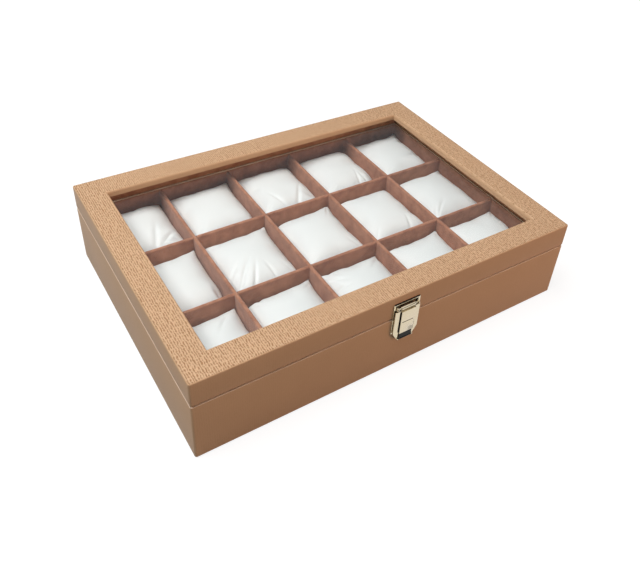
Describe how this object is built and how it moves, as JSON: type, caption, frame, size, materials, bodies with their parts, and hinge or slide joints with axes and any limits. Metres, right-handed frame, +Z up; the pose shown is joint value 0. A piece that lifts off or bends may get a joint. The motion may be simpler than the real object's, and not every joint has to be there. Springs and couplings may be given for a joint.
{
  "type": "watch display box",
  "caption": "Leatherette-covered watch display box with a hinged window lid, a front flap latch and a divided tray of loose satin pillows.",
  "frame": {"origin": "middle of the underside of the closed box, on the surface it stands on", "axes": "+X to the right along the long side, +Y to the back where the hinges are, +Z up; the latch is at the front, -Y"},
  "size_m": [0.35, 0.258, 0.078],
  "materials": {
    "fibreboard": "raw medium-density fibreboard, sawn",
    "leatherette": "tan polyurethane leatherette with an embossed pebble grain, low sheen",
    "suede_card": "dusty terracotta flocked suede paper over card",
    "bottom_sheet": "dark non-woven sheet",
    "satin_pillow": "white satin over soft fill",
    "window_glass": "clear float glass",
    "latch_gold": "pressed steel with a pale gold plate, satin",
    "hinge_brass": "rolled sheet with a light brass plate"
  },
  "bodies": {
    "base": {"base_front_wall": "fibreboard", "base_back_wall": "fibreboard", "base_left_wall": "fibreboard", "base_right_wall": "fibreboard", "bottom_board": "fibreboard", "base_leatherette": "leatherette", "bottom_cover": "bottom_sheet", "floor_lining": "suede_card", "base_side_lining": "suede_card", "long_divider_1": "suede_card", "long_divider_2": "suede_card", "short_divider_1": "suede_card", "short_divider_2": "suede_card", "short_divider_3": "suede_card", "short_divider_4": "suede_card", "left_hinge_base_leaf": "hinge_brass", "right_hinge_base_leaf": "hinge_brass", "left_hinge_pin": "hinge_brass", "right_hinge_pin": "hinge_brass", "base_hinge_screws": "hinge_brass", "latch_base_plate": "latch_gold", "base_latch_nails": "latch_gold"},
    "lid": {"lid_front_wall": "fibreboard", "lid_back_wall": "fibreboard", "lid_left_wall": "fibreboard", "lid_right_wall": "fibreboard", "lid_front_rail": "fibreboard", "lid_back_rail": "fibreboard", "lid_left_rail": "fibreboard", "lid_right_rail": "fibreboard", "lid_leatherette": "leatherette", "glass_pane": "window_glass", "lid_side_lining": "suede_card", "left_hinge_lid_leaf": "hinge_brass", "right_hinge_lid_leaf": "hinge_brass", "lid_hinge_screws": "hinge_brass", "latch_lid_plate": "latch_gold", "latch_pin": "latch_gold", "lid_latch_nails": "latch_gold"},
    "flap": {"latch_flap": "latch_gold"},
    "pillow_front_1": {"pillow_front_1": "satin_pillow"},
    "pillow_front_2": {"pillow_front_2": "satin_pillow"},
    "pillow_front_3": {"pillow_front_3": "satin_pillow"},
    "pillow_front_4": {"pillow_front_4": "satin_pillow"},
    "pillow_front_5": {"pillow_front_5": "satin_pillow"},
    "pillow_middle_1": {"pillow_middle_1": "satin_pillow"},
    "pillow_middle_2": {"pillow_middle_2": "satin_pillow"},
    "pillow_middle_3": {"pillow_middle_3": "satin_pillow"},
    "pillow_middle_4": {"pillow_middle_4": "satin_pillow"},
    "pillow_middle_5": {"pillow_middle_5": "satin_pillow"},
    "pillow_back_1": {"pillow_back_1": "satin_pillow"},
    "pillow_back_2": {"pillow_back_2": "satin_pillow"},
    "pillow_back_3": {"pillow_back_3": "satin_pillow"},
    "pillow_back_4": {"pillow_back_4": "satin_pillow"},
    "pillow_back_5": {"pillow_back_5": "satin_pillow"}
  },
  "joints": [
    {"name": "lid_hinge", "type": "hinge", "parent": "base", "child": "lid", "pos_m": [0, 0.12705, 0.0555], "axis": [-1, 0, 0], "range_deg": [0, 100]},
    {"name": "flap_pivot", "type": "hinge", "parent": "lid", "child": "flap", "pos_m": [0, -0.127, 0.0664], "axis": [-1, 0, 0], "range_deg": [0, 110]},
    {"name": "pillow_front_1_lift", "type": "slide", "parent": "base", "child": "pillow_front_1", "axis": [0, 0, 1], "range_m": [0, 0.017]},
    {"name": "pillow_front_2_lift", "type": "slide", "parent": "base", "child": "pillow_front_2", "axis": [0, 0, 1], "range_m": [0, 0.017]},
    {"name": "pillow_front_3_lift", "type": "slide", "parent": "base", "child": "pillow_front_3", "axis": [0, 0, 1], "range_m": [0, 0.017]},
    {"name": "pillow_front_4_lift", "type": "slide", "parent": "base", "child": "pillow_front_4", "axis": [0, 0, 1], "range_m": [0, 0.017]},
    {"name": "pillow_front_5_lift", "type": "slide", "parent": "base", "child": "pillow_front_5", "axis": [0, 0, 1], "range_m": [0, 0.017]},
    {"name": "pillow_middle_1_lift", "type": "slide", "parent": "base", "child": "pillow_middle_1", "axis": [0, 0, 1], "range_m": [0, 0.017]},
    {"name": "pillow_middle_2_lift", "type": "slide", "parent": "base", "child": "pillow_middle_2", "axis": [0, 0, 1], "range_m": [0, 0.017]},
    {"name": "pillow_middle_3_lift", "type": "slide", "parent": "base", "child": "pillow_middle_3", "axis": [0, 0, 1], "range_m": [0, 0.017]},
    {"name": "pillow_middle_4_lift", "type": "slide", "parent": "base", "child": "pillow_middle_4", "axis": [0, 0, 1], "range_m": [0, 0.017]},
    {"name": "pillow_middle_5_lift", "type": "slide", "parent": "base", "child": "pillow_middle_5", "axis": [0, 0, 1], "range_m": [0, 0.017]},
    {"name": "pillow_back_1_lift", "type": "slide", "parent": "base", "child": "pillow_back_1", "axis": [0, 0, 1], "range_m": [0, 0.017]},
    {"name": "pillow_back_2_lift", "type": "slide", "parent": "base", "child": "pillow_back_2", "axis": [0, 0, 1], "range_m": [0, 0.017]},
    {"name": "pillow_back_3_lift", "type": "slide", "parent": "base", "child": "pillow_back_3", "axis": [0, 0, 1], "range_m": [0, 0.017]},
    {"name": "pillow_back_4_lift", "type": "slide", "parent": "base", "child": "pillow_back_4", "axis": [0, 0, 1], "range_m": [0, 0.017]},
    {"name": "pillow_back_5_lift", "type": "slide", "parent": "base", "child": "pillow_back_5", "axis": [0, 0, 1], "range_m": [0, 0.017]}
  ]
}
